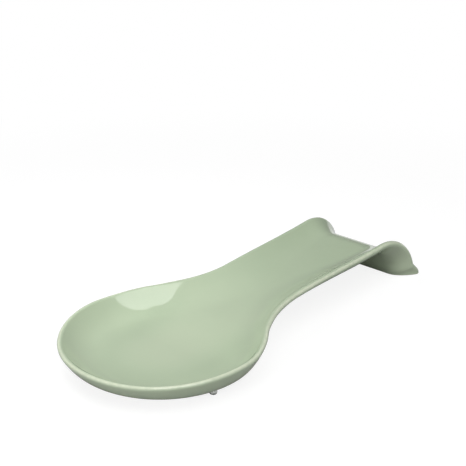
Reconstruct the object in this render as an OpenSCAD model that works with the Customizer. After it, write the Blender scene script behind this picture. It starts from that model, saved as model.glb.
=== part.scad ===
// Spoon rest: a cast and glazed ceramic dish with a round bowl, a trough handle and a curled-over foot.
// It stands on the foot of its handle and on clear bumpers stuck under the bowl.
// All lengths are in millimetres. X runs from the bowl to the foot, Z is up and the table is at zero.

/* [Bowl] */
// Radius of the bowl, from its middle to the inner edge of the rim
bowl_r = 58; // [50:0.5:66]
// Thickness of the ceramic in the bowl
bowl_t = 3.2; // [2.6:0.1:4.5]
// Rise of the rim over the floor at the front of the bowl
front_rise = 9; // [6:0.1:14]
// Rise of the rim over the floor at the widest place of the bowl
side_rise = 11.4; // [7:0.1:16]
// Width, seen from above, of the curve that the wall makes inside the bowl
bowl_inner_w = 17.2; // [12:0.1:24]
// Width, seen from above, of the curve that the wall makes under the bowl
bowl_outer_w = 10.6; // [6:0.1:14]

/* [Handle] */
// Width of the handle at its narrowest place, between the inner edges of the rim
neck_w = 56.2; // [48:0.2:66]
// Radius of the arc that leads the rim from the bowl into the handle
neck_r = 85; // [60:1:120]
// Width of the handle at its end, between the inner edges of the rim
end_w = 62.4; // [48:0.2:72]
// Thickness of the ceramic where the handle starts to curl over
handle_t = 4.3; // [3:0.1:5]
// Rise of the rim over the floor where the neck ends
neck_rise = 9; // [6:0.1:14]
// Rise of the rim over the floor where the handle starts to curl over
crest_rise = 6.5; // [4:0.1:12]
// Width of the flat floor across the neck, between the curves of its walls
neck_flat_w = 1.2; // [0.8:0.1:12]
// Width, seen from above, of the curve that the wall makes inside the handle's end
crest_inner_w = 13.8; // [8:0.1:20]
// Width, seen from above, of the curve that the wall makes under the neck
neck_outer_w = 19.4; // [14:0.1:26]
// Width, seen from above, of the curve that the wall makes under the handle's end
crest_outer_w = 11.5; // [7:0.1:18]
// Distance from the middle of the bowl to where the floor starts to rise
rise_start = 4.6; // [0:0.1:12]
// Radius of the arcs that lead the floor up the ramp and from the ramp into the handle
rise_r = 111; // [90:1:160]
// Slope of the ramp between the bowl and the handle, in degrees
ramp_slope = 10; // [8.5:0.1:12]
// Length of the straight ramp
ramp_l = 15.5; // [4:0.5:30]
// Slope of the handle, in degrees
handle_slope = 5.6; // [4:0.1:8]
// Length of the straight slope of the handle
slope_l = 120.7; // [100:0.1:140]
// Distance from the middle of the bowl to where the wall starts to turn from the bowl into the handle
fan_start = 36.8; // [25:0.1:45]

/* [Foot] */
// Radius of the floor's curl at the end of the handle
crest_r = 25; // [18:0.5:28]
// Radius of the outward bend above the table
toe_r = 8.1; // [6:0.1:12]
// Angle between the foot and the table, in degrees
toe_slope = 47.3; // [42:0.1:65]
// Height above the table at which the inner face of the foot is straight
toe_land = 0.8; // [0.4:0.1:3]
// Rise of the rim over the floor at the table
foot_rise = 7.4; // [5:0.1:12]

/* [Bumpers] */
// Diameter of a bumper
bumper_d = 4.6; // [3.6:0.1:7]
// Height of a bumper
bumper_h = 4.9; // [3.5:0.1:5.5]
// Diameter of the flat tip that a bumper stands on
bumper_tip_d = 1.6; // [1:0.1:2.4]
// Thickness of the adhesive film behind a bumper
film_t = 0.3; // [0.2:0.05:0.6]
// How far the film stays inside the edge of its bumper
film_inset = 0.2; // [0.1:0.05:0.5]
// Distance from the edge of a bumper to the edge of the flat base
bumper_margin = 0.2; // [0:0.1:4]
// Angle of the side bumpers round the bowl, from the handle, in degrees
bumper_turn = 98; // [95:1:130]
// How much nearer to the middle of the bowl the front bumper sits than the side ones
front_inset = 12; // [0:0.5:25]

/* [Hidden] */

// Steps of the surface: round the bowl, along the handle, across the wall and round the lip
front_steps = 20;
back_steps = 11;
neck_steps = 12;
slope_steps = 8;
crest_steps = 16;
toe_steps = 5;
floor_steps = 3;
wall_steps = 9;
lip_steps = 6;
round_steps = 64;

glaze_green = [0.68, 0.74, 0.64];
clear_grey = [0.82, 0.84, 0.82, 0.6];
film_grey = [0.90, 0.91, 0.89, 0.7];

// Heights of the base and of the bowl's floor above the table
base_z = bumper_h + film_t;
floor_z = base_z + bowl_t;

// Small helpers: a smooth step, a blend, an arc's length and a point at an angle
function ease(t) = let (c = min(max(t, 0), 1)) c * c * (3 - 2 * c);
function mix(a, b, t) = a + (b - a) * t;
function unit(v) = v / norm(v);
function arc_l(r, angle) = r * angle * PI / 180;
function polar(r, angle) = r * [cos(angle), sin(angle)];

// Middle line of the floor, seen from the side: flat, ramp, slope, curl over, bend out, straight end.
// Each corner is a place along X and Z, and each stretch starts at a distance along the line.
rise_p = [rise_start, floor_z];
ramp_p = rise_p + rise_r * [sin(ramp_slope), 1 - cos(ramp_slope)];
bend_p = ramp_p + ramp_l * [cos(ramp_slope), sin(ramp_slope)];
slope_p = bend_p + rise_r * [sin(ramp_slope) - sin(handle_slope), cos(handle_slope) - cos(ramp_slope)];
crest_p = slope_p + slope_l * [cos(handle_slope), sin(handle_slope)];
toe_end_z = toe_land + handle_t * cos(toe_slope);
// Steepest angle of the foot: where the curl and the outward bend are tangent to each other
leg_slope = acos(
    (toe_end_z - crest_p.y + crest_r * cos(handle_slope) + toe_r * cos(toe_slope)) / (crest_r + toe_r)
);
toe_p = crest_p + crest_r * [sin(handle_slope) + sin(leg_slope), cos(leg_slope) - cos(handle_slope)];
land_p = toe_p + toe_r * [sin(leg_slope) - sin(toe_slope), cos(leg_slope) - cos(toe_slope)];
ramp_s = rise_start + arc_l(rise_r, ramp_slope);
bend_s = ramp_s + ramp_l;
slope_s = bend_s + arc_l(rise_r, ramp_slope - handle_slope);
crest_s = slope_s + slope_l;
toe_s = crest_s + arc_l(crest_r, handle_slope + leg_slope);
land_s = toe_s + arc_l(toe_r, leg_slope - toe_slope);

// Angle of the middle line at a distance along it, up being positive
function line_angle(s) =
    s < rise_start ? 0
    : s < ramp_s ? (s - rise_start) / rise_r * 180 / PI
    : s < bend_s ? ramp_slope
    : s < slope_s ? ramp_slope - (s - bend_s) / rise_r * 180 / PI
    : s < crest_s ? handle_slope
    : s < toe_s ? handle_slope - (s - crest_s) / crest_r * 180 / PI
    : s < land_s ? (s - toe_s) / toe_r * 180 / PI - leg_slope
    : -toe_slope;

// Place of the middle line at a distance along it
function line_at(s) =
    let (a = line_angle(s))
    s < rise_start ? [s, floor_z]
    : s < ramp_s ? rise_p + rise_r * [sin(a), 1 - cos(a)]
    : s < bend_s ? ramp_p + (s - ramp_s) * [cos(a), sin(a)]
    : s < slope_s ? bend_p + rise_r * [sin(ramp_slope) - sin(a), cos(a) - cos(ramp_slope)]
    : s < crest_s ? slope_p + (s - slope_s) * [cos(a), sin(a)]
    : s < toe_s ? crest_p + crest_r * [sin(handle_slope) - sin(a), cos(a) - cos(handle_slope)]
    : s < land_s ? toe_p + toe_r * [sin(a) + sin(leg_slope), cos(leg_slope) - cos(a)]
    : land_p + (s - land_s) * [cos(a), sin(a)];

// Outline of the rim, seen from above with the handle laid flat: bowl circle, neck arc, flared handle
neck_p = [sqrt(pow(bowl_r + neck_r, 2) - pow(neck_w / 2 + neck_r, 2)), neck_w / 2 + neck_r];
neck_turn = atan2(neck_p.y, neck_p.x);

function handle_half(s) =
    mix(neck_w, end_w, pow((s - neck_p.x) / (land_s - neck_p.x), 2)) / 2;

handle_stops = concat(
    [for (k = [1 : slope_steps]) mix(neck_p.x, crest_s, k / slope_steps)],
    [for (k = [1 : crest_steps]) mix(crest_s, toe_s, k / crest_steps)],
    [for (k = [1 : toe_steps]) mix(toe_s, land_s, k / toe_steps)]
);
rim_plan = concat(
    [for (k = [0 : front_steps]) polar(bowl_r, mix(180, 90, k / front_steps))],
    [for (k = [1 : back_steps]) polar(bowl_r, mix(90, neck_turn, k / back_steps))],
    [for (k = [1 : neck_steps]) neck_p - polar(neck_r, mix(neck_turn, 90, k / neck_steps))],
    [for (s = handle_stops) [s, handle_half(s)]]
);
last_rib = len(rim_plan);

// Sizes that change along the dish
function rim_rise(s) =
    front_rise
    + (side_rise - front_rise) * ease(1 + s / bowl_r)
    + (neck_rise - side_rise) * ease(s / neck_p.x)
    + (crest_rise - neck_rise) * ease((s - neck_p.x) / (crest_s - neck_p.x))
    + (foot_rise - crest_rise) * ease((s - crest_s) / (land_s - crest_s));
function thickness(s) = mix(bowl_t, handle_t, ease((s - rise_start) / (crest_s - rise_start)));
neck_inner_w = (neck_w - neck_flat_w) / 2;
function inner_w(s) =
    bowl_inner_w
    + (neck_inner_w - bowl_inner_w) * ease(s / neck_p.x)
    + (crest_inner_w - neck_inner_w) * ease((s - neck_p.x) / (crest_s - neck_p.x));
function outer_w(s) =
    bowl_outer_w
    + (neck_outer_w - bowl_outer_w) * ease(s / neck_p.x)
    + (crest_outer_w - neck_outer_w) * ease((s - neck_p.x) / (crest_s - neck_p.x));

// A rib runs from the middle line to the rim. Round the bowl all ribs start at its middle, at the neck they
// fan out along the middle line, and a foot that would lie right beside the middle of the bowl starts in it.
middle_join = 0.2;
function rib_foot(p) =
    let (foot = p.x * ease((p.x - fan_start) / (neck_p.x - fan_start)))
    foot < middle_join ? 0 : foot;
middle_rib = len([for (p = rim_plan) if (rib_foot(p) == 0) p]) - 1;

// Shares of a rib at which it has points: a few over the flat floor, then evenly up the wall
function rib_shares(floor_share) = concat(
    [for (k = [0 : floor_steps - 1]) floor_share * k / floor_steps],
    [for (k = [0 : wall_steps]) mix(floor_share, 1, k / wall_steps)]
);

// Distances along the middle line of a rib's points
function rib_places(p, wall_w) =
    let (
        foot = rib_foot(p),
        l = norm([p.x - foot, p.y])
    )
    [for (share = rib_shares(1 - wall_w / l)) mix(foot, p.x, share)];

// One rib on the bent floor: flat to the foot of the wall, then a parabola up to the rim
function rib(p, wall_w) =
    let (
        foot = rib_foot(p),
        l = norm([p.x - foot, p.y]),
        rise = rim_rise(p.x)
    )
    [
        for (share = rib_shares(1 - wall_w / l))
        let (
            s = mix(foot, p.x, share),
            h = rise * pow(max(0, 1 - (1 - share) * l / wall_w), 2),
            a = line_angle(s),
            q = line_at(s)
        )
        [q.x - h * sin(a), p.y * share, q.y + h * cos(a)]
    ];

function flip(p) = [p.x, -p.y, p.z];

// Upward normals of a sheet of ribs, square to the neighbours on both sides.
// On the middle line they follow the bend.
function normals(sheet) = [
    for (i = [0 : len(sheet) - 1])
    [
        for (j = [0 : len(sheet[i]) - 1])
        let (
            before = i > 0 ? sheet[i - 1][j] : flip(sheet[1][j]),
            after = sheet[min(i + 1, len(sheet) - 1)][j],
            inward = sheet[i][max(j - 1, 0)],
            outward = sheet[i][min(j + 1, len(sheet[i]) - 1)],
            a = line_angle(rib_foot(rim_plan[i]))
        )
        j == 0 ? [-sin(a), 0, cos(a)] : unit(cross(after - before, outward - inward))
    ]
];

inside = [for (p = rim_plan) rib(p, inner_w(p.x))];
outside = [for (p = rim_plan) rib(p, outer_w(p.x))];
outside_normals = normals(outside);
underside = [
    for (i = [0 : last_rib - 1])
    let (places = rib_places(rim_plan[i], outer_w(rim_plan[i].x)))
    [for (j = [0 : len(places) - 1]) outside[i][j] - thickness(places[j]) * outside_normals[i][j]]
];

// Half-round lip between the inner and the outer edge of the rim
function lip(i) =
    let (
        n = len(inside[i]) - 1,
        middle = (inside[i][n] + underside[i][n]) / 2,
        up = (inside[i][n] - underside[i][n]) / 2,
        wall = outside[i][n] - outside[i][n - 1],
        out = unit(wall - up * (wall * up) / (up * up)) * norm(up)
    )
    [for (k = [1 : lip_steps - 1]) middle + up * cos(180 * k / lip_steps) + out * sin(180 * k / lip_steps)];

function reversed(list) = [for (k = [len(list) - 1 : -1 : 0]) list[k]];

// One slice through the wall: inside from the middle line to the rim, round the lip and back underneath
slices = [for (i = [0 : last_rib - 1]) concat(inside[i], lip(i), reversed(underside[i]))];

// The foot runs straight on from its last slice down to the table and ends flat on it
function to_table(p) = p + p.z / sin(toe_slope) * [cos(toe_slope), 0, -sin(toe_slope)];
ribs = concat(slices, [[for (p = slices[last_rib - 1]) to_table(p)]]);
slice_n = len(ribs[0]);

// Origin under the middle of the dish's length
all_x = [for (slice = ribs) for (p = slice) p.x];
middle_x = (min(all_x) + max(all_x)) / 2;

// Points of the body: both sides of every slice, then the shared points on the middle line, above and below
line_ribs = [for (i = [middle_rib : last_rib]) ribs[i]];
side_n = slice_n - 2;
above_n = (2 * last_rib + 1) * side_n;
below_n = above_n + len(line_ribs);
body_points = concat(
    [for (r = [-last_rib : last_rib]) for (j = [1 : side_n]) r < 0 ? flip(ribs[-r][j]) : ribs[r][j]],
    [for (slice = line_ribs) slice[0]],
    [for (slice = line_ribs) slice[slice_n - 1]]
);
function point_at(r, j) =
    j == 0 ? above_n + max(abs(r) - middle_rib, 0)
    : j == slice_n - 1 ? below_n + max(abs(r) - middle_rib, 0)
    : (r + last_rib) * side_n + j - 1;

// A four-sided patch as two triangles, leaving out a triangle that has shrunk to a line
function patch(a, b, c, d) = [
    for (f = [[a, b, c], [a, c, d]])
    if (f[0] != f[1] && f[1] != f[2] && f[2] != f[0]) f
];
body_faces = concat(
    [
        for (r = [-last_rib : last_rib - 1])
        for (j = [0 : slice_n - 2])
        each patch(point_at(r, j), point_at(r, j + 1), point_at(r + 1, j + 1), point_at(r + 1, j))
    ],
    [
        for (side = [-1, 1])
        for (j = [0 : slice_n / 2 - 1])
        let (
            a = point_at(side * last_rib, j),
            b = point_at(side * last_rib, j + 1),
            c = point_at(side * last_rib, slice_n - 2 - j),
            d = point_at(side * last_rib, slice_n - 1 - j)
        )
        each (side < 0 ? patch(d, c, b, a) : patch(a, b, c, d))
    ]
);

module ceramic_body()
{
    color(glaze_green)
        translate([-middle_x, 0, 0])
            polyhedron(body_points, body_faces);
}

// Where a bumper sits: on the flat base, inside the curve under the wall
function bumper_place(turn, inset) =
    polar(bowl_r - bowl_outer_w - bumper_margin - bumper_d / 2 - inset, turn) - [middle_x, 0];

// A clear stick-on bumper: a stud with a rounded edge round its flat tip
module bumper(turn, inset = 0)
{
    edge_r = (bumper_d - bumper_tip_d) / 2;
    color(clear_grey)
        translate(bumper_place(turn, inset))
            rotate_extrude($fn = round_steps)
                union() {
                    square([bumper_tip_d / 2, bumper_h]);
                    translate([0, edge_r])
                        square([bumper_d / 2, bumper_h - edge_r]);
                    intersection() {
                        translate([bumper_tip_d / 2, edge_r])
                            circle(edge_r, $fn = round_steps);
                        square([bumper_d / 2, bumper_h]);
                    }
                }
}

// The adhesive film between a bumper and the base
module film(turn, inset = 0)
{
    color(film_grey)
        translate(bumper_place(turn, inset))
            translate([0, 0, bumper_h])
                cylinder(h = film_t, r = bumper_d / 2 - film_inset, $fn = round_steps);
}

module bumper_front() { bumper(180, front_inset); }
module bumper_left() { bumper(bumper_turn); }
module bumper_right() { bumper(-bumper_turn); }
module adhesive_front() { film(180, front_inset); }
module adhesive_left() { film(bumper_turn); }
module adhesive_right() { film(-bumper_turn); }

ceramic_body();
bumper_front();
bumper_left();
bumper_right();
adhesive_front();
adhesive_left();
adhesive_right();
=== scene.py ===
# %% [markdown]
# A glazed ceramic spoon rest
#
# The real object is one casting: a round shallow bowl that runs into a trough-shaped handle, and a
# handle end that curls over and comes down to the table as a foot. Three clear stick-on bumpers under
# the bowl keep it off the worktop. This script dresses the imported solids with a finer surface, a glaze,
# clear plastic, light and a camera. Every piece is worked out from formulas, in the frame of the solids.

import bpy
import numpy as np
from mathutils import Matrix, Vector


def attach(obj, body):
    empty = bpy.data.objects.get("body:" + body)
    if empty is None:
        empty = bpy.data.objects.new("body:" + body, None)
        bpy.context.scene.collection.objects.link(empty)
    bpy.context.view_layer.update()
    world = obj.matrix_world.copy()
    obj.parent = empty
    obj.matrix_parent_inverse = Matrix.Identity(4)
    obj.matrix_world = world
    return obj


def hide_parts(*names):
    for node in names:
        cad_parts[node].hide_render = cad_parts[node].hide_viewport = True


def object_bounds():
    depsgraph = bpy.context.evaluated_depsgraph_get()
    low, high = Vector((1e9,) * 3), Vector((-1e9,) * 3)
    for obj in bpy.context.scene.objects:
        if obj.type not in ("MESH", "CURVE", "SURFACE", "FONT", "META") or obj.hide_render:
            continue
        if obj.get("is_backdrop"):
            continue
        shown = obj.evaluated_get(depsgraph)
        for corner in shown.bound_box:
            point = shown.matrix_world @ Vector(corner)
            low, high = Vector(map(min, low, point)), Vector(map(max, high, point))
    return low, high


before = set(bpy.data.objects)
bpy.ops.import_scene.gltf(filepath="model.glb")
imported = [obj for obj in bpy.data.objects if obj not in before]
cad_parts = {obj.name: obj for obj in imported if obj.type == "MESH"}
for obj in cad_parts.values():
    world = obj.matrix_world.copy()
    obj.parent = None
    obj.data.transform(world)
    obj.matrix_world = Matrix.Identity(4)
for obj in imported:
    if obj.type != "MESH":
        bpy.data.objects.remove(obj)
solid_low, solid_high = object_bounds()
print("solids:", sorted(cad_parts), "box", list(solid_low), list(solid_high))

# %% [markdown]
# The measures of the dish
#
# The solids were built from a handful of measures in millimetres, such as the bowl's radius, the rise of
# its rim and the radius of the curl. The same measures are repeated here, so that the fine surface lies on
# the solid one. Keeping them in one place means that a learner can change one and see the dish follow.

# %% Measures, in millimetres and degrees
MM = 0.001
bowl_r, bowl_t = 58.0, 3.2
front_rise, side_rise = 9.0, 11.4
bowl_inner_w, bowl_outer_w = 17.2, 10.6
neck_w, neck_r, end_w, handle_t = 56.2, 85.0, 62.4, 4.3
neck_rise, crest_rise, foot_rise = 9.0, 6.5, 7.4
neck_flat_w, crest_inner_w, neck_outer_w, crest_outer_w = 1.2, 13.8, 19.4, 11.5
rise_start, rise_r, ramp_l, slope_l, fan_start = 4.6, 111.0, 15.5, 120.7, 36.8
crest_r, toe_r, toe_land = 25.0, 8.1, 0.8
ramp_slope, handle_slope, toe_slope = np.radians([10.0, 5.6, 47.3])
bumper_d, bumper_h, bumper_tip_d = 4.6, 4.9, 1.6
film_t, film_inset, bumper_margin, bumper_turn, front_inset = 0.3, 0.2, 0.2, 98.0, 12.0
middle_x = 74.938
base_z = bumper_h + film_t
floor_z = base_z + bowl_t
print(f"the floor of the bowl lies {floor_z:.1f} mm above the table, its base {base_z:.1f} mm")

# %% [markdown]
# The middle line of the floor
#
# Seen from the side, the floor is flat in the bowl, goes up a ramp into the gentler slope of the handle, curls
# over and bends out a little above the table. One could draw it as a spline, but a heading is easier to control:
# an arc is a heading that changes evenly, and a straight run is a heading that stays. Averaging the heading
# over a few millimetres rounds the joins, so a reflection runs over them without a kink, as it does on glaze.

# %% Heading and place along the middle line
toe_end_z = toe_land + handle_t * np.cos(toe_slope)
ramp_z = floor_z + rise_r * (1 - np.cos(ramp_slope)) + ramp_l * np.sin(ramp_slope)
crest_z = ramp_z + rise_r * (np.cos(handle_slope) - np.cos(ramp_slope)) + slope_l * np.sin(handle_slope)
leg_slope = np.arccos(
    (toe_end_z - crest_z + crest_r * np.cos(handle_slope) + toe_r * np.cos(toe_slope)) / (crest_r + toe_r)
)
ramp_s = rise_start + rise_r * ramp_slope
bend_s = ramp_s + ramp_l
slope_s = bend_s + rise_r * (ramp_slope - handle_slope)
crest_s = slope_s + slope_l
toe_s = crest_s + crest_r * (handle_slope + leg_slope)
land_s = toe_s + toe_r * (leg_slope - toe_slope)


def middle_line(step=0.05, soft=3.0, spare=10):
    """Distance, heading, x and z of the floor's middle line. The heading goes straight from corner to corner and
    is averaged under a bell-shaped window twice soft wide. x and z are running sums of its cosine and sine."""
    s = np.arange(-bowl_r - spare, land_s + spare, step)
    corners = [rise_start, ramp_s, bend_s, slope_s, crest_s, toe_s, land_s]
    heading = np.interp(s, corners, [0, ramp_slope, ramp_slope, handle_slope, handle_slope, -leg_slope, -toe_slope])
    window = np.hanning(int(2 * soft / step) | 1)
    padded = np.pad(heading, len(window) // 2, mode="edge")
    heading = np.convolve(padded, window / window.sum(), mode="valid")

    def running_sum(slope):
        return np.concatenate([[0], np.cumsum((slope[1:] + slope[:-1]) / 2 * step)])

    return s, heading, s[0] + running_sum(np.cos(heading)), floor_z + running_sum(np.sin(heading))


line_s, line_heading, line_x, line_z = middle_line()
print(f"middle line: {land_s:.1f} mm from the bowl's middle to the toe")
print(f"steepest slope, on the way down to the toe: {np.degrees(leg_slope):.1f} degrees")

# %% [markdown]
# The outline of the rim
#
# From above, with the handle laid flat, the rim is a circle round the bowl, an arc that bends the other way
# at the neck, and a line that flares gently to the handle's end. Circle and arc touch where the line between
# their middles crosses them, so the rim has no corner. Only one half is made: the dish is symmetric. Ribs lead
# from the middle line to the rim: round the bowl they all start at its middle, and at the neck they fan out.

# %% Plan of the rim and the ribs' inner ends
neck_x = np.sqrt((bowl_r + neck_r) ** 2 - (neck_w / 2 + neck_r) ** 2)
neck_y = neck_w / 2 + neck_r


def smooth(t):
    """Smooth step: 0 before 0, 1 after 1, and 3t squared less 2t cubed between them."""
    c = np.clip(t, 0, 1)
    return c * c * (3 - 2 * c)


def rim_plan(front=46, back=26, neck=46, slope=80, crest=54, toe=12):
    """Half of the rim's plan, from the front to the handle's end: quarter circle, rest of the circle,
    neck arc, then a half width that grows with the square of the way along the handle."""
    touch = np.arctan2(neck_y, neck_x)
    turn = np.concatenate([np.linspace(np.pi, np.pi / 2, front), np.linspace(np.pi / 2, touch, back)[1:]])
    bend = np.linspace(touch, np.pi / 2, neck)[1:]
    along = np.concatenate([
        np.linspace(neck_x, crest_s, slope)[1:],
        np.linspace(crest_s, toe_s, crest)[1:],
        np.linspace(toe_s, land_s, toe)[1:],
    ])
    flare = (neck_w + (end_w - neck_w) * ((along - neck_x) / (land_s - neck_x)) ** 2) / 2
    x = np.concatenate([bowl_r * np.cos(turn), neck_x - neck_r * np.cos(bend), along])
    y = np.concatenate([bowl_r * np.sin(turn), neck_y - neck_r * np.sin(bend), flare])
    y[0] = 0.0
    return x, y


rim_x, rim_y = rim_plan()
rib_foot = rim_x * smooth((rim_x - fan_start) / (neck_x - fan_start))
same_spot = 0.2
rib_foot[rib_foot < same_spot] = 0.0
rib_l = np.hypot(rim_x - rib_foot, rim_y)
print(f"rim: {len(rim_x)} ribs on each side, neck at {neck_x:.1f} mm from the bowl's middle")

# %% [markdown]
# The sheet of the dish
#
# A rib runs from the middle line to the rim. It is flat at first and then climbs like a parabola to the rim's
# rise, at right angles to the bent floor. The hollow side has a wide, soft curve and the outside a tighter one,
# so they are two sheets with the same rim. The parabola starts gradually: its corner is rounded by a square root.

# %% Inner and outer sheet
rise = (
    front_rise
    + (side_rise - front_rise) * smooth(1 + rim_x / bowl_r)
    + (neck_rise - side_rise) * smooth(rim_x / neck_x)
    + (crest_rise - neck_rise) * smooth((rim_x - neck_x) / (crest_s - neck_x))
    + (foot_rise - crest_rise) * smooth((rim_x - crest_s) / (land_s - crest_s))
)
neck_inner_w = (neck_w - neck_flat_w) / 2
inner_w = (
    bowl_inner_w
    + (neck_inner_w - bowl_inner_w) * smooth(rim_x / neck_x)
    + (crest_inner_w - neck_inner_w) * smooth((rim_x - neck_x) / (crest_s - neck_x))
)
outer_w = (
    bowl_outer_w
    + (neck_outer_w - bowl_outer_w) * smooth(rim_x / neck_x)
    + (crest_outer_w - neck_outer_w) * smooth((rim_x - neck_x) / (crest_s - neck_x))
)
# Points crowd towards the rim, where the wall bends most
rib_points, crowding = 42, 1.3
share = 1 - (1 - np.linspace(0, 1, rib_points)) ** crowding
places = rib_foot[:, None] + (rim_x - rib_foot)[:, None] * share[None, :]
thickness = bowl_t + (handle_t - bowl_t) * smooth((places - rise_start) / (crest_s - rise_start))


def climb(wall_w, soft=0.03):
    """Share of the rim's rise at each point of each rib: 0 on the floor, then the square of the way u across the
    wall. To round the corner at the wall's foot, u becomes half the sum of u and the root of u squared plus soft
    squared, divided by what that gives at the rim."""
    u = 1 - (1 - share)[None, :] * (rib_l / wall_w)[:, None]
    eased = (u + np.sqrt(u * u + soft * soft)) / 2
    return (eased / ((1 + np.sqrt(1 + soft * soft)) / 2)) ** 2


def sheet(wall_w):
    """Points of one sheet, rib by rib: the place on the middle line, raised square to it by the climb."""
    part = climb(wall_w)
    a = np.interp(places, line_s, line_heading)
    h = rise[:, None] * part
    x = np.interp(places, line_s, line_x) - h * np.sin(a)
    z = np.interp(places, line_s, line_z) + h * np.cos(a)
    return np.stack([x, rim_y[:, None] * share[None, :], z], -1)


inside, outside = sheet(inner_w), sheet(outer_w)
rim_z = inside[:, -1, 2]
print("sheets:", inside.shape, f"rim height from {rim_z.min():.1f} to {rim_z.max():.1f} mm")

# %% [markdown]
# Wall thickness and the lip
#
# The underside is the outer sheet moved by the wall's thickness along its own normal, as a mould leaves it.
# The lip between the two sheets is a cubic curve that leaves the inside in the wall's direction and comes back
# into the underside in the same way. Tangents of twice the thickness make it very nearly a half circle.

# %% Underside and lip
MIRROR = np.array([1.0, -1.0, 1.0])


def normals(points):
    """Upward normals of a sheet: the cross product of the way to the next rib and the way along the rib.
    On the middle line, where ribs meet, the normal is square to the middle line's heading."""
    along = np.concatenate([points[1:2] * MIRROR, points, points[-1:]])
    across = np.concatenate([points[:, :1], points, points[:, -1:]], 1)
    n = np.cross(along[2:] - along[:-2], across[:, 2:] - across[:, :-2])
    a = np.interp(rib_foot, line_s, line_heading)
    n[:, 0] = np.stack([-np.sin(a), 0 * a, np.cos(a)], -1)
    return n / np.linalg.norm(n, axis=-1, keepdims=True)


def unit(v):
    """Vectors of length one."""
    return v / np.linalg.norm(v, axis=-1, keepdims=True)


def lip_curve(steps=14):
    """Points round the lip: a cubic from the inside's rim to the underside's, with both sheets' directions."""
    k = (np.arange(1, steps) / steps)[None, :, None]
    start, end = inside[:, -1][:, None], underside[:, -1][:, None]
    gap = 2 * np.linalg.norm(end - start, axis=-1, keepdims=True)
    leave = gap * unit(inside[:, -1] - inside[:, -2])[:, None]
    arrive = -gap * unit(underside[:, -1] - underside[:, -2])[:, None]
    return (
        (2 * k**3 - 3 * k**2 + 1) * start + (k**3 - 2 * k**2 + k) * leave
        + (3 * k**2 - 2 * k**3) * end + (k**3 - k**2) * arrive
    )


underside = outside - thickness[..., None] * normals(outside)
lip = lip_curve()
slices = np.concatenate([inside, lip, underside[:, ::-1]], 1)
slice_n = slices.shape[1]
print("one slice goes over", slice_n, "points: inside, lip and underside")

# %% [markdown]
# The toe on the table
#
# The foot flares out a little more and then stands upright on the table, so its end looks blunt. It could be cut off
# flat, but that would leave a crease. Here each point of the last slice goes down a cubic curve that leaves in the
# foot's own direction and arrives straight down. A sponge rounds the edge before firing, so the very last slices draw
# in by a quarter circle.

# %% Slices that form the toe
def toe_slices(edge=0.7, flare=0.95, steps=9, rounds=4):
    """The last slice carried down to a height of one edge radius along a cubic, with tangents as long as the drop.
    Then a quarter turn lowers it by edge times the sine of the turn, and draws it in along its level normal by edge
    times one less the cosine."""
    last = slices[-1][None]
    drop = last[..., 2] - edge
    k = np.linspace(0, 1, steps + 1)[1:, None]
    leave, arrive = (k**3 - 2 * k**2 + k) * drop, (k**3 - k**2) * drop
    ahead = leave * np.cos(toe_slope) + (3 * k**2 - 2 * k**3) * flare * drop / np.tan(toe_slope)
    height = edge + (2 * k**3 - 3 * k**2 + 1) * drop - leave * np.sin(toe_slope) - arrive
    down = np.stack([last[..., 0] + ahead, last[..., 1] + 0 * ahead, height], -1)
    ring = np.concatenate([(down[-1] * MIRROR)[-2:0:-1], down[-1]])
    step = np.roll(ring, -1, 0) - np.roll(ring, 1, 0)
    inward = unit(np.stack([-step[:, 1], step[:, 0], 0 * step[:, 0]], -1))[-slice_n:]
    turn = np.linspace(0, np.pi / 2, rounds + 1)[1:, None, None]
    drawn = down[-1] + edge * (1 - np.cos(turn)) * inward - edge * np.sin(turn) * np.array([0, 0, 1.0])
    toe = np.concatenate([down, drawn])
    toe[:, [0, -1], 1] = 0.0
    return toe


ribs = np.concatenate([slices, toe_slices()])
print(f"length {np.ptp(ribs[..., 0]):.1f} mm, width {2 * ribs[..., 1].max():.1f} mm, middle at {middle_x:.2f} mm")

# %% [markdown]
# Thin lip, painted light and shade, and bare clay
#
# Glaze is wiped off where the dish stands in the kiln. That could be painted on an image, but a number on each point
# needs no image and stays sharp at any distance. So three numbers go with each point: how near the lip is, where the
# glaze is thin and a highlight is painted on; how much light or shade is painted into the glaze, lighter in the bowl's
# middle and darker towards its walls, in a soft ring round the floor's edge, along the handle to the crest and beneath
# the handle, lighter again under the curled foot; and where the clay was wiped bare.

# %% Numbers for the glaze on every point
# Nearness to the lip. The pale line it gives the rim is partly the glaze thinning over the edge and partly a painted
# highlight.
def lip_highlight_number(line_w=1.5):
    """Nearness to the lip: a bell over the way along the slice from the lip's middle."""
    step = np.linalg.norm(np.diff(ribs, axis=1), axis=-1)
    way = np.concatenate([np.zeros((len(ribs), 1)), np.cumsum(step, 1)], 1)
    middle = way[:, [inside.shape[1] + lip.shape[1] // 2]]
    return np.exp(-(((way - middle) / line_w) ** 2))


def painted_shade_inside(thin=0.15, wall_painted_shade=0.40, wall_r=45, ring_painted_shade=0.35, ring_r=30, ring_w=11):
    """Painted light and shade on the inside: 1, lightest, in the bowl's middle, and a smooth fall to thin, darker,
    before the crest. In the bowl it is less, a painted shade, towards the walls by a smooth step, and less again in a
    soft ring round the floor, by a bell."""
    bowl_end, bowl_fade, crest_gap = 25, 35, 20
    out = np.hypot(np.minimum(places, 0), rim_y[:, None] * share[None, :])
    painted_dark = wall_painted_shade * smooth(out / wall_r) + ring_painted_shade * np.exp(-(((out - ring_r) / ring_w) ** 2))
    in_bowl = 1 - smooth((places - bowl_end) / bowl_fade)
    before_crest = 1 - smooth(places / (crest_s - crest_gap))
    return thin + (1 - thin) * before_crest - painted_dark * in_bowl


def painted_shade_beneath(bowl=0.65, handle=0.10, foot=1.0, neck_fade=30, crest_fade=15):
    """Painted light and shade on the underside: one number each for bowl, handle and foot, with smooth steps between
    them. The low number under the handle is painted shade.
    """
    past_neck, past_crest = smooth((places - neck_x) / neck_fade), smooth((places - crest_s) / crest_fade)
    return bowl + (handle - bowl) * past_neck + (foot - handle) * past_crest


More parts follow.
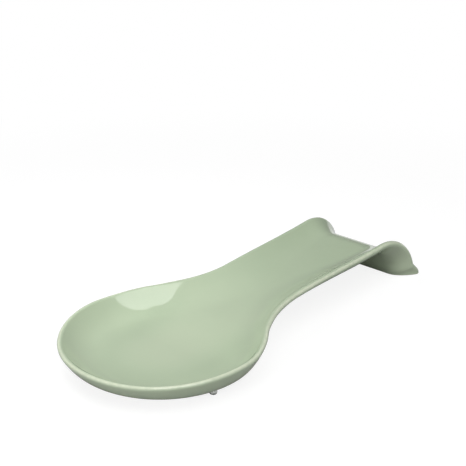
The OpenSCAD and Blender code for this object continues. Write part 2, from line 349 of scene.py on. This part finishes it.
def painted_shade_number():
    """Painted light and shade round each slice: inside, evenly from one to the other over the lip, beneath. The toe's
    slices repeat the last one."""
    above, beneath = painted_shade_inside(), painted_shade_beneath()
    over_lip = (np.arange(lip.shape[1]) + 1)[None, :] / (lip.shape[1] + 1)
    on_lip = above[:, -1:] + (beneath - above)[:, -1:] * over_lip
    painted_light_shade = np.concatenate([above, on_lip, beneath[:, ::-1]], 1)
    return np.concatenate([painted_light_shade, np.repeat(painted_light_shade[-1:], len(ribs) - len(slices), 0)])


def bare_number(base_lift=0.15, base_fade=0.7, base_end=60, toe_lift=0.1, toe_fade=0.5):
    """Bare clay: 1 on the flat base and on the toe's lower edge, with a smooth fall to 0 just above them."""
    height = ribs[..., 2]
    below = np.zeros(height.shape)
    below[: len(slices), -underside.shape[1]:] = 1.0
    bare = below * (1 - smooth((height - base_z - base_lift) / base_fade)) * (ribs[..., 0] < base_end)
    bare[len(slices):] = 1 - smooth((height[len(slices):] - toe_lift) / toe_fade)
    return bare


glaze_marks = {"thin_lip_highlight": lip_highlight_number(), "painted_light_shade": painted_shade_number(), "bare": bare_number()}
print({name: f"{values.mean():.3f} on average" for name, values in glaze_marks.items()})

# %% [markdown]
# From slices to a mesh
#
# The casting is one closed skin, so its mesh is one too. The slices of one side and their mirror image form one grid
# of points. Points that fall together, on the middle line and at the bowl's middle, are welded, and patches that
# shrink to a line there lose a corner. Blender can merge by distance, but looking for equal rows never joins points
# that only lie close. The toe's last slice is closed by joining its inner and outer points across the wall.

# %% Mesh of the dish
def weld(points, marks):
    """Points that are equal to a thousandth of a millimetre become one; the grid then holds their numbers. Adding
    zero turns minus zero into zero."""
    flat = points.reshape(-1, 3)
    rounded = np.round(flat, 3) + 0.0
    _, first, number = np.unique(rounded, axis=0, return_index=True, return_inverse=True)
    kept_marks = {k: v.reshape(-1)[first] for k, v in marks.items()}
    return flat[first], number.reshape(points.shape[:2]), kept_marks


def grid_faces(number):
    """Four-cornered patches between neighbours on the grid, and three-cornered ones where two corners are welded."""
    a, b, c, d = number[:-1, :-1], number[:-1, 1:], number[1:, 1:], number[1:, :-1]
    quad = np.stack([a, d, c, b], -1).reshape(-1, 4)
    same = quad == np.roll(quad, -1, 1)
    whole = ~same.any(1)
    once = same.sum(1) == 1
    keep = ~same[once]
    return quad[whole].tolist() + quad[once][keep].reshape(-1, 3).tolist()


def mesh_piece(name, points, faces, marks=None):
    """A named mesh object at the origin, shaded smooth, from points in millimetres."""
    mesh = bpy.data.meshes.new(name)
    mesh.from_pydata((points * MM).tolist(), [], faces)
    mesh.polygons.foreach_set("use_smooth", np.ones(len(mesh.polygons), dtype=bool))
    for key, values in (marks or {}).items():
        mesh.attributes.new(key, "FLOAT", "POINT").data.foreach_set("value", values.astype(np.float32))
    mesh.validate()
    mesh.update()
    piece = bpy.data.objects.new(name, mesh)
    bpy.context.scene.collection.objects.link(piece)
    return piece


both = np.concatenate([(ribs * MIRROR)[:0:-1], ribs]) - np.array([middle_x, 0, 0])
both_marks = {k: np.concatenate([v[:0:-1], v]) for k, v in glaze_marks.items()}
dish_points, dish_grid, dish_marks = weld(both, both_marks)
half = slice_n // 2 + 1
toe_ends = [np.stack([row[:half], row[: -half - 1:-1]]) for row in (dish_grid[0], dish_grid[-1])]
dish_faces = grid_faces(dish_grid) + grid_faces(toe_ends[0][::-1]) + grid_faces(toe_ends[1])
dish = mesh_piece("glazed_dish", dish_points, dish_faces, dish_marks)
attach(dish, "root")
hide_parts("ceramic_body")
print("dish:", len(dish_points), "points,", len(dish.data.polygons), "faces")

# %% [markdown]
# The glaze
#
# The glaze is a glassy skin, sage green and a little milky, on a pale fired clay. Where it runs off the lip it is
# thin and the clay shines through, and a highlight is painted over that, so the rim has a light line. Light and shade
# are painted into its green too: it is lighter in the bowl's middle and a deeper green towards the walls, round the
# floor's edge, along the handle to the crest and beneath the handle. The flat base and the edge under the toe were
# wiped before firing and are bare clay. All this is made from small nodes, and a few helpers keep the wiring short.

# %% Helpers for materials
def new_material(name):
    """A node material that holds only a Principled shader and its output."""
    material = bpy.data.materials.new(name)
    material.use_nodes = True
    tree = material.node_tree
    tree.nodes.clear()
    shader = tree.nodes.new("ShaderNodeBsdfPrincipled")
    output = tree.nodes.new("ShaderNodeOutputMaterial")
    tree.links.new(shader.outputs[0], output.inputs[0])
    return material, tree, shader


def put(tree, kind, links=None, values=None, **settings):
    """One node: settings are its options, values its own numbers and links the sockets that feed it."""
    made = tree.nodes.new(kind)
    for key, value in settings.items():
        setattr(made, key, value)
    for key, value in (values or {}).items():
        made.inputs[key].default_value = value
    for key, source in (links or {}).items():
        tree.links.new(source, made.inputs[key])
    return made


def noise(tree, where, scale, detail=2.0, rough=0.5):
    """A soft cloud between 0 and 1, in object coordinates, scale being clouds to the metre."""
    made = put(tree, "ShaderNodeTexNoise", {"Vector": where}, {"Scale": scale, "Detail": detail, "Roughness": rough})
    return made.outputs["Fac"]


def spread(tree, source, low, high, to_low=0.0, to_high=1.0):
    """The numbers from low to high spread evenly from to_low to to_high, and held at the ends."""
    made = put(tree, "ShaderNodeMapRange", {"Value": source})
    made.inputs["From Min"].default_value, made.inputs["From Max"].default_value = low, high
    made.inputs["To Min"].default_value, made.inputs["To Max"].default_value = to_low, to_high
    return made.outputs[0]


def maths(tree, operation, first, second):
    """A sum, product or the like of two sockets, or of a socket and a number."""
    made = put(tree, "ShaderNodeMath", operation=operation)
    for k, value in enumerate((first, second)):
        if isinstance(value, float):
            made.inputs[k].default_value = value
        else:
            tree.links.new(value, made.inputs[k])
    return made.outputs[0]


def blend_colours(tree, share_socket, first, second):
    """From the first colour to the second by a share. A colour is a socket or three numbers."""
    made = put(tree, "ShaderNodeMix", data_type="RGBA")
    tree.links.new(share_socket, made.inputs["Factor"])
    for key, value in ((6, first), (7, second)):
        if isinstance(value, tuple):
            made.inputs[key].default_value = (*value, 1.0)
        else:
            tree.links.new(value, made.inputs[key])
    return made.outputs[2]


print("material helpers are ready")

# %% [markdown]
# Colour and gloss of the glaze
#
# A glaze is not one flat green: it has faint clouds in it. A painted image could show this, but the numbers on the
# points and a few noises do it at any distance. Three close greens, lit, middle and shaded, are blended by the painted
# light and shade, and the pale lip with its painted highlight and the bare clay go over them. The gloss is the
# shader's own.

# %% Sage glaze
# A lit, a middle and a shaded green of one glaze: painted light and shade.
SAGE_LIT = (0.484, 0.567, 0.411)
SAGE = (0.448, 0.537, 0.384)
SAGE_SHADED = (0.398, 0.486, 0.341)
# The pale lip: thin glaze over the edge, with a painted highlight.
LIP_PALE_AND_HIGHLIGHT = (0.700, 0.750, 0.590)
CLAY = (0.560, 0.500, 0.410)
CLAY_DARK = tuple(0.86 * c for c in CLAY)
GLAZE_ROUGH, CLAY_ROUGH, GLAZE_IOR = (0.008, 0.018), 0.82, 1.52
CLOUDS_PER_METRE = {"broad": 38.0, "fine": 340.0, "wiped": 220.0, "grain": 2200.0, "ripple": 120.0}
NOISE_SPAN = (0.3, 0.7)


def sage_glaze(drift=0.07, lip_highlight_share=0.85, wiped_wobble=0.3, ripple_mm=0.008, grain_mm=0.06):
    """Colour: three close greens, lit to shaded, by the painted light and shade and a faint cloud, paler at the lip,
    where thin glaze carries a painted highlight, clay where bare. Roughness: glossy with a faint cloud, dull where
    bare.
    Relief: a very shallow ripple, and grain on the clay."""
    material, tree, shader = new_material("sage_glaze")
    where = put(tree, "ShaderNodeTexCoord").outputs["Object"]
    mark = {k: put(tree, "ShaderNodeAttribute", attribute_name=k).outputs["Fac"] for k in glaze_marks}
    broad = noise(tree, where, CLOUDS_PER_METRE["broad"], 3.0)
    fine = noise(tree, where, CLOUDS_PER_METRE["fine"], 3.0, 0.6)
    cloud = maths(tree, "ADD", maths(tree, "MULTIPLY", broad, 0.75), maths(tree, "MULTIPLY", fine, 0.25))
    # Painted light and shade: lighter in the bowl's middle, darker towards the walls, round the floor's edge, along
    # the handle and beneath it.
    lit_share = maths(tree, "ADD", mark["painted_light_shade"], spread(tree, cloud, 0.36, 0.64, -drift, drift))
    green = blend_colours(tree, spread(tree, lit_share, 0.0, 0.5), SAGE_SHADED, SAGE)
    green = blend_colours(tree, spread(tree, lit_share, 0.5, 1.0), green, SAGE_LIT)
    # Painted highlight on the lip, over the paler thin glaze at the edge.
    thin = maths(tree, "MULTIPLY", mark["thin_lip_highlight"], spread(tree, fine, *NOISE_SPAN, 0.7, 1.0))
    green = blend_colours(tree, spread(tree, thin, 0.3, 1.0, 0.0, lip_highlight_share), green, LIP_PALE_AND_HIGHLIGHT)
    wiped = noise(tree, where, CLOUDS_PER_METRE["wiped"])
    edge = maths(tree, "ADD", mark["bare"], spread(tree, wiped, *NOISE_SPAN, -wiped_wobble, wiped_wobble))
    bare = spread(tree, edge, 0.46, 0.58)
    grain = noise(tree, where, CLOUDS_PER_METRE["grain"], 2.0)
    clay = blend_colours(tree, grain, CLAY_DARK, CLAY)
    tree.links.new(blend_colours(tree, bare, green, clay), shader.inputs["Base Color"])
    gloss = spread(tree, cloud, *NOISE_SPAN, *GLAZE_ROUGH)
    rough = put(tree, "ShaderNodeMix", {"Factor": bare, 2: gloss}, {3: CLAY_ROUGH})
    tree.links.new(rough.outputs[0], shader.inputs["Roughness"])
    ripple = maths(tree, "MULTIPLY", noise(tree, where, CLOUDS_PER_METRE["ripple"], 1.0), ripple_mm)
    rough_clay = maths(tree, "MULTIPLY", maths(tree, "MULTIPLY", grain, bare), grain_mm)
    height = maths(tree, "ADD", ripple, rough_clay)
    relief = put(tree, "ShaderNodeBump", {"Height": height}, {"Strength": 1.0, "Distance": MM})
    tree.links.new(relief.outputs[0], shader.inputs["Normal"])
    shader.inputs["IOR"].default_value = GLAZE_IOR
    return material


dish.data.materials.append(sage_glaze())
print("glaze on the dish:", dish.data.materials[0].name)

# %% [markdown]
# Clear bumpers and their adhesive film
#
# The bumpers are small studs of clear soft plastic, sold on a sheet and stuck under the bowl so that it does not
# slide or scratch. Each has a round tip and a film of adhesive behind it. A profile turned round an axis gives
# both: the profile is a row of radii and heights, and the turn is a second parameter.

# %% Turned pieces
def turned(name, profile, spot, stands_for, steps=48):
    """A closed piece of revolution: radius times cosine and sine of the turn, and the height of the profile. Its axis
    stands under the bowl, at an angle round the bowl's middle and just inside the edge of the flat base."""
    turn_deg, inset = spot
    out = bowl_r - bowl_outer_w - bumper_margin - bumper_d / 2 - inset
    place = np.array([out * np.cos(np.radians(turn_deg)) - middle_x, out * np.sin(np.radians(turn_deg)), 0])
    turn = np.linspace(0, 2 * np.pi, steps + 1)[:, None]
    r, z = profile[:, 0][None, :], profile[:, 1][None, :]
    grid = np.stack([r * np.cos(turn), r * np.sin(turn), z + 0 * turn], -1)
    points, number, _ = weld(grid, {})
    piece = mesh_piece(name, points + place, grid_faces(number))
    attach(piece, "root")
    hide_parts(stands_for)
    return piece


def stud_profile(edge=0.12):
    """From the middle of the tip outwards: flat tip, quarter circle, straight side, a small quarter circle at the
    top edge, flat top."""
    r, tip = bumper_d / 2, bumper_tip_d / 2
    a, b = np.linspace(-np.pi / 2, 0, 17), np.linspace(0, np.pi / 2, 6)
    low = np.stack([tip + (r - tip) * np.cos(a), (r - tip) * (1 + np.sin(a))], -1)
    top = np.stack([r - edge + edge * np.cos(b), bumper_h - edge + edge * np.sin(b)], -1)
    return np.concatenate([[[0, 0], [tip / 2, 0]], low, top, [[r / 2, bumper_h], [0, bumper_h]]])


def film_profile():
    """A thin disc whose edge is a half circle, as soft adhesive bulges when it is pressed on."""
    r = bumper_d / 2 - film_inset
    b = np.linspace(-np.pi / 2, np.pi / 2, 9)
    edge = np.stack([r - film_t / 2 + film_t / 2 * np.cos(b), bumper_h + film_t / 2 * (1 + np.sin(b))], -1)
    return np.concatenate([[[0, bumper_h], [r / 2, bumper_h]], edge, [[r / 2, base_z], [0, base_z]]])


spots = {"front": (180.0, front_inset), "left": (bumper_turn, 0.0), "right": (-bumper_turn, 0.0)}
studs = [turned(f"clear_stud_{k}", stud_profile(), v, f"bumper_{k}") for k, v in spots.items()]
films = [turned(f"sticky_film_{k}", film_profile(), v, f"adhesive_{k}") for k, v in spots.items()]
print("turned pieces:", [p.name for p in studs + films])

# %% [markdown]
# Clear soft plastic
#
# The studs are see-through with a skin that is not quite smooth, and the film of adhesive is hazier. Glass would look
# too hard, so the shader lets only part of the light through and keeps some tint of its own. One noise varies the
# tint, the haze and the relief of the skin together, as one flaw in the plastic would.

# %% Clear plastic and adhesive
PLASTIC_IOR = 1.48


def clear_plastic(name, tint, haze, clear, clouds, dusk=0.93, vary=0.3, skin_mm=0.04):
    """A see-through soft plastic. A cloud takes the tint down to a slightly darker one, the haze from less to more by
    the same share, and raises the skin a little."""
    material, tree, shader = new_material(name)
    where = put(tree, "ShaderNodeTexCoord").outputs["Object"]
    cloud = spread(tree, noise(tree, where, clouds, 2.0), *NOISE_SPAN)
    darker = tuple(dusk * c for c in tint)
    tree.links.new(blend_colours(tree, cloud, darker, tint), shader.inputs["Base Color"])
    tree.links.new(spread(tree, cloud, 0.0, 1.0, haze * (1 - vary), haze * (1 + vary)), shader.inputs["Roughness"])
    skin = put(tree, "ShaderNodeBump", {"Height": cloud}, {"Strength": 0.2, "Distance": skin_mm * MM})
    tree.links.new(skin.outputs[0], shader.inputs["Normal"])
    shader.inputs["Transmission Weight"].default_value = clear
    shader.inputs["IOR"].default_value = PLASTIC_IOR
    return material


stud_plastic = clear_plastic("clear_soft_plastic", (0.84, 0.87, 0.83), haze=0.12, clear=0.6, clouds=700.0)
film_plastic = clear_plastic("adhesive_film", (0.90, 0.92, 0.88), haze=0.28, clear=0.7, clouds=1500.0)
for piece, plastic in [(p, stud_plastic) for p in studs] + [(p, film_plastic) for p in films]:
    piece.data.materials.append(plastic)
print("see-through pieces:", len(studs) + len(films))

# %% [markdown]
# The white table
#
# The object stands on a white table. A plain white plane would throw so much light up that the underside lost its
# depth, so to the lamps the table is a matt middle grey. To the camera a glow brings it up to white, and a soft shadow
# stays under the dish. In reflections its far part is white too.

# %% White table
def table_top(radius=1.4, gap_mm=0.2, steps=96):
    """A flat disc just under the bumpers: radius times cosine and sine of the turn."""
    turn = np.linspace(0, 2 * np.pi, steps + 1)[:, None]
    r = np.array([0, 0.2, 0.4, 0.7, 1.0])[None, :] * radius / MM
    grid = np.stack([r * np.cos(turn), r * np.sin(turn), -gap_mm + 0 * r * turn], -1)
    points, number, _ = weld(grid, {})
    floor = mesh_piece("table_top", points, grid_faces(number[::-1]))
    floor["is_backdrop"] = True
    return floor


AWAY = (0.74, 0.67, 0.0)


def far_side(tree, where, low, high):
    """A share that grows from 0 to 1 between low and high, by the product with the level direction away from the
    photo's camera."""
    out = put(tree, "ShaderNodeVectorMath", {0: where}, {1: AWAY}, operation="DOT_PRODUCT").outputs["Value"]
    return spread(tree, out, low, high)


def white_table(matt=0.48, shade=0.20, glow=0.86, shadow_r=0.22, white_r=0.5, grain=0.01):
    """To the lamps and in near reflections a matt table of a middle grey. To the camera and through the clear
    plastic a glow and a weaker matt part add up to white where the light is free, so that only a soft shadow
    shows, and from shadow_r to white_r out that goes over to plain white. In reflections the far side is white, like
    the backdrop. From below the table is see-through."""
    material, tree, shader = new_material("white_table")
    path = put(tree, "ShaderNodeLightPath").outputs
    where = put(tree, "ShaderNodeTexCoord").outputs["Object"]
    grey = spread(tree, noise(tree, where, 60.0), *NOISE_SPAN, matt - grain, matt + grain)
    tree.links.new(grey, shader.inputs["Base Color"])
    shader.inputs["Roughness"].default_value = 0.9
    shader.inputs["Specular IOR Level"].default_value = 0.0
    far = put(tree, "ShaderNodeVectorMath", {0: where}, operation="LENGTH").outputs["Value"]
    fade = put(
        tree, "ShaderNodeMapRange", {"Value": far}, {"From Min": shadow_r, "From Max": white_r},
        interpolation_type="SMOOTHSTEP",
    )
    dim = put(tree, "ShaderNodeBsdfDiffuse", values={"Color": (shade, shade, shade, 1.0)})
    light = put(tree, "ShaderNodeEmission", values={"Color": (1, 1, 1, 1), "Strength": glow})
    white = put(tree, "ShaderNodeEmission", values={"Color": (1, 1, 1, 1), "Strength": 1.0})
    shown = put(tree, "ShaderNodeAddShader", {0: dim.outputs[0], 1: light.outputs[0]})
    shown = put(tree, "ShaderNodeMixShader", {0: fade.outputs[0], 1: shown.outputs[0], 2: white.outputs[0]})
    bright = maths(tree, "MULTIPLY", path["Is Glossy Ray"], far_side(tree, where, 0.10, 0.24))
    mirrored = put(tree, "ShaderNodeMixShader", {0: bright, 1: shader.outputs[0], 2: white.outputs[0]})
    seen = maths(tree, "MAXIMUM", path["Is Camera Ray"], path["Is Transmission Ray"])
    top = put(tree, "ShaderNodeMixShader", {0: seen, 1: mirrored.outputs[0], 2: shown.outputs[0]})
    back = put(tree, "ShaderNodeNewGeometry").outputs["Backfacing"]
    clear = put(tree, "ShaderNodeBsdfTransparent")
    both_sides = put(tree, "ShaderNodeMixShader", {0: back, 1: top.outputs[0], 2: clear.outputs[0]})
    output = next(n for n in tree.nodes if n.type == "OUTPUT_MATERIAL")
    tree.links.new(both_sides.outputs[0], output.inputs[0])
    return material


floor = table_top()
floor.data.materials.append(white_table())
print("table top:", tuple(round(x, 2) for x in floor.dimensions))

# %% [markdown]
# The white room
#
# The room is white to the camera. In reflections only a low backdrop on the far side is white and the rest is dim,
# because the glaze keeps its depth that way. An image of a studio could light the dish too, but a few directions are
# enough here and each can be set on its own: a little even light, and broad light from the left and the near side.

# %% White room
FROM_LEFT, FROM_NEAR = (-0.94, 0.0, 0.34), (0.0, -0.94, 0.34)


def white_room(even, left, near, ceiling):
    """White to the camera and through clear plastic. In reflections a low white backdrop on the far side, and a dim
    ceiling. On matt surfaces a little even light and two broad lights, from the left and from the near side: each
    is its strength times the squared cosine of the angle to it."""
    world = bpy.data.worlds.new("white_room")
    world.use_nodes = True
    bpy.context.scene.world = world
    tree = world.node_tree
    path = put(tree, "ShaderNodeLightPath").outputs
    way = put(tree, "ShaderNodeTexCoord").outputs["Generated"]
    up = put(tree, "ShaderNodeSeparateXYZ", {0: way}).outputs["Z"]
    low_down = spread(tree, up, 0.0, 0.04, 1.0, 0.0)
    backdrop = maths(tree, "MULTIPLY", far_side(tree, way, 0.2, 0.5), low_down)
    mirrored = maths(tree, "MULTIPLY", path["Is Glossy Ray"], spread(tree, backdrop, 0.0, 1.0, ceiling, 1.0))
    soft = even
    for axis, strength in ((FROM_LEFT, left), (FROM_NEAR, near)):
        toward = put(tree, "ShaderNodeVectorMath", {0: way}, {1: axis}, operation="DOT_PRODUCT").outputs["Value"]
        lobe = maths(tree, "POWER", maths(tree, "MAXIMUM", toward, 0.0), 2.0)
        soft = maths(tree, "ADD", maths(tree, "MULTIPLY", lobe, strength), soft)
    seen = maths(tree, "MAXIMUM", path["Is Camera Ray"], path["Is Transmission Ray"])
    unseen = maths(tree, "SUBTRACT", 1.0, maths(tree, "MAXIMUM", seen, path["Is Glossy Ray"]))
    total = maths(tree, "ADD", maths(tree, "ADD", seen, mirrored), maths(tree, "MULTIPLY", soft, unseen))
    sky = next(n for n in tree.nodes if n.type == "BACKGROUND")
    sky.inputs["Color"].default_value = (1, 1, 1, 1)
    tree.links.new(total, sky.inputs["Strength"])


white_room(even=0.05, left=0.10, near=0.48, ceiling=0.27)
print("room: white backdrop, dim ceiling, broad light from the left and the near side")

# %% [markdown]
# The panel and two soft lamps
#
# A large tilted panel of light hangs over the near side. The pale patch on the far wall of the bowl is its reflection,
# and its place and tilt were found by mirroring the view at that patch, which is surer than moving a lamp by eye. Two
# small soft lamps, on the far side and on the left, lighten places that the panel leaves too dark. They are kept out
# of reflections, so they leave no spots in the glaze.

# %% Panel and soft lamps
def stand(axes, place):
    """The matrix that lays an object's own x, y and z along three axes and puts its origin at a place."""
    turned_and_moved = np.hstack([axes, np.array(place, float)[:, None]])
    return Matrix(np.vstack([turned_and_moved, [0, 0, 0, 1]]).tolist())


def place_lamp(lamp, place, look_at, turn_deg):
    """An object for a lamp at a place, facing a point and turned about that line."""
    piece = bpy.data.objects.new(lamp.name, lamp)
    bpy.context.scene.collection.objects.link(piece)
    z = unit(np.array(place, float) - np.array(look_at, float))
    x = unit(np.cross([0.0, 1.0, 0.1], z))
    y = np.cross(z, x)
    c, s = np.cos(np.radians(turn_deg)), np.sin(np.radians(turn_deg))
    piece.matrix_world = stand(np.stack([c * x + s * y, c * y - s * x, z], 1), place)
    return piece


def light_panel(name, place, look_at, turn_deg, size, radiance):
    """A rectangle of light. Its power in watts is the radiance times pi times its area."""
    lamp = bpy.data.lights.new(name, "AREA")
    lamp.shape, lamp.size, lamp.size_y = "RECTANGLE", size[0], size[1]
    lamp.energy = radiance * np.pi * size[0] * size[1]
    return place_lamp(lamp, place, look_at, turn_deg)


def soft_lamp(name, place, look_at, width, watts):
    """A round lamp that lights the glaze and is kept out of its reflections."""
    lamp = bpy.data.lights.new(name, "AREA")
    lamp.shape, lamp.size, lamp.energy = "DISK", width, watts
    piece = place_lamp(lamp, place, look_at, 0.0)
    piece.visible_glossy = False
    return piece


panel = light_panel(
    "overhead_panel", place=(-0.3605, -0.5763, 1.1069), look_at=(0.0499, -0.1907, 0.0473),
    turn_deg=14.82, size=(0.808, 1.2), radiance=3.5,
)
bowl_spot = (-0.06, 0.0, 0.01)
lamps = [
    soft_lamp("far_lamp", (-0.10, 0.16, 0.27), bowl_spot, width=0.25, watts=0.45),
    soft_lamp("left_lamp", (-0.993, -0.104, 0.352), bowl_spot, width=0.14, watts=2.2),
]
print("watts:", {p.name: round(p.data.energy, 2) for p in [panel] + lamps})

# %% [markdown]
# The camera
#
# The photo was taken from the bowl's side, a little above. A search over the view's angles, its distance and its
# focal length laid the outline of the formulas over the outline in the photo. The result is used here as a
# direction and a distance from a point on the handle, the pixel where that point is seen, and a slight roll.

# %% Camera
def photo_camera(azimuth, elevation, distance, focal_px, seen_at, roll, aim=(60.0, 0.0, 15.0), size_px=466):
    """Looks back along the direction of azimuth and elevation, then turns so that the point it aims at is seen at its
    pixel, with tangents of the pixel's offset over the focal length, and rolls about the view line."""
    point = (np.array(aim) - np.array([middle_x, 0, 0])) * MM
    a, e, r = np.radians([azimuth, elevation, roll])
    back = np.array([np.sin(a) * np.cos(e), -np.cos(a) * np.cos(e), np.sin(e)])
    right = np.array([np.cos(a), np.sin(a), 0])
    up = np.cross(back, right)
    off_x, off_y = (np.array(seen_at) - size_px / 2) / focal_px
    yaw, pitch = np.arctan2(off_x, 1), np.arctan2(-off_y, np.hypot(1, off_x))
    ahead, up = -np.cos(pitch) * back - np.sin(pitch) * up, np.cos(pitch) * up - np.sin(pitch) * back
    ahead, right = np.cos(yaw) * ahead - np.sin(yaw) * right, np.cos(yaw) * right + np.sin(yaw) * ahead
    right, up = np.cos(r) * right + np.sin(r) * up, np.cos(r) * up - np.sin(r) * right
    lens = bpy.data.cameras.new("photo_camera")
    lens.sensor_width = 36.0
    lens.lens = focal_px * lens.sensor_width / size_px
    lens.clip_start, lens.clip_end = 0.01, 20.0
    camera = bpy.data.objects.new("photo_camera", lens)
    bpy.context.scene.collection.objects.link(camera)
    camera.matrix_world = stand(np.stack([right, up, -ahead], 1), point + back * distance * MM)
    bpy.context.scene.camera = camera
    return camera


camera = photo_camera(
    azimuth=-47.6745, elevation=25.6834, distance=696.14, focal_px=1138.10,
    seen_at=(235.351, 307.285), roll=0.2967,
)
bpy.context.scene.view_settings.view_transform = "Standard"
print("camera at", [round(x, 3) for x in camera.location], "lens", round(camera.data.lens, 1), "mm")

# %% [markdown]
# Sizes and the end
#
# The dressed model has to keep the size of the solids. Both boxes are written down side by side, so a slip in a
# measure shows at once.

# %% Sizes
shown_low, shown_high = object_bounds()
for name, low, high in (("solids", solid_low, solid_high), ("dressed", shown_low, shown_high)):
    print(name, [round(x / MM, 2) for x in high - low], "mm")
